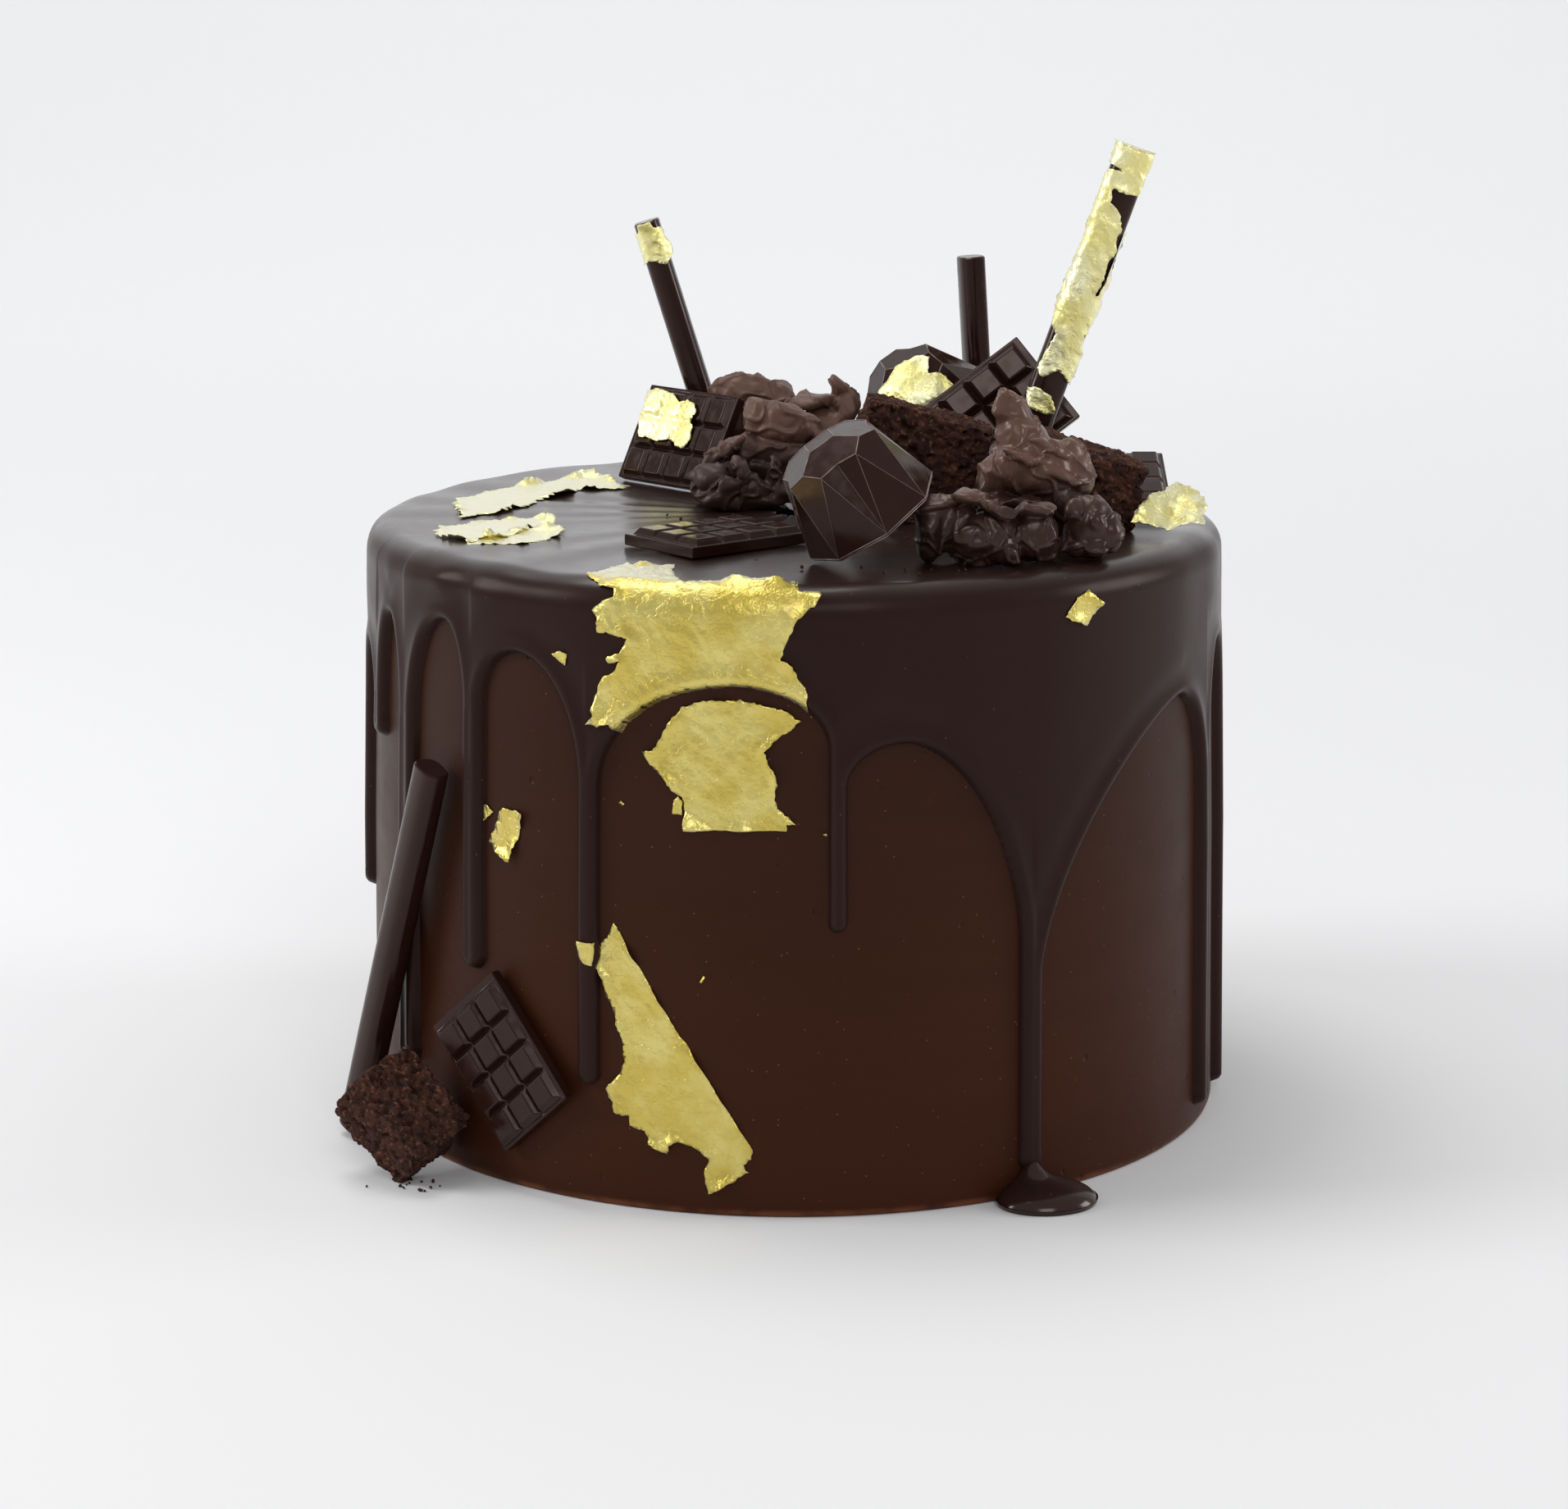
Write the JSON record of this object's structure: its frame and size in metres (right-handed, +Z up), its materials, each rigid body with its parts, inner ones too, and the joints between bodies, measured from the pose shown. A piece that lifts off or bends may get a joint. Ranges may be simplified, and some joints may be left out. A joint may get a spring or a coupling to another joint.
{
  "type": "chocolate drip cake",
  "caption": "Tall round chocolate drip cake: ganache side, poured glaze, gold leaf, and a heap of moulded gems, tablets, sticks, brownie and coated pieces.",
  "frame": {"origin": "centre of the cake's flat round base", "axes": "+Z up through the cake's axis, -Y towards the viewer who sees the gold leaf and the front drips, +X to that viewer's right"},
  "size_m": [0.2152, 0.2107, 0.2328],
  "materials": {
    "ganache": "smooth dark brown ganache, satin",
    "glaze": "set dark chocolate glaze, soft gloss",
    "chocolate": "moulded dark chocolate, glossy",
    "coated": "dipped chocolate over crunch pieces, satin",
    "sponge": "dark crumbly brownie, matt",
    "gold": "thin pale gold leaf, crinkled"
  },
  "bodies": {
    "root": {"brownie_back": "sponge", "brownie_foot": "sponge", "brownie_right": "sponge", "cake": "ganache", "cluster_back": "coated", "cluster_front": "coated", "cluster_left": "coated", "cluster_middle": "coated", "cluster_nub": "coated", "cluster_peak": "coated", "curl_left": "coated", "drip_pool": "glaze", "gem_back": "chocolate", "gem_front": "chocolate", "glaze": "glaze", "gold_crumple": "gold", "gold_flake_left": "gold", "gold_flake_right": "gold", "gold_front": "gold", "gold_rim": "gold", "gold_side": "gold", "gold_top_far": "gold", "gold_top_near": "gold", "shard_left": "coated", "stick_left": "chocolate", "stick_middle": "chocolate", "stick_right": "chocolate", "stick_side": "chocolate", "tablet_back": "chocolate", "tablet_edge": "chocolate", "tablet_front": "chocolate", "tablet_left": "chocolate", "tablet_side": "chocolate"}
  },
  "joints": []
}
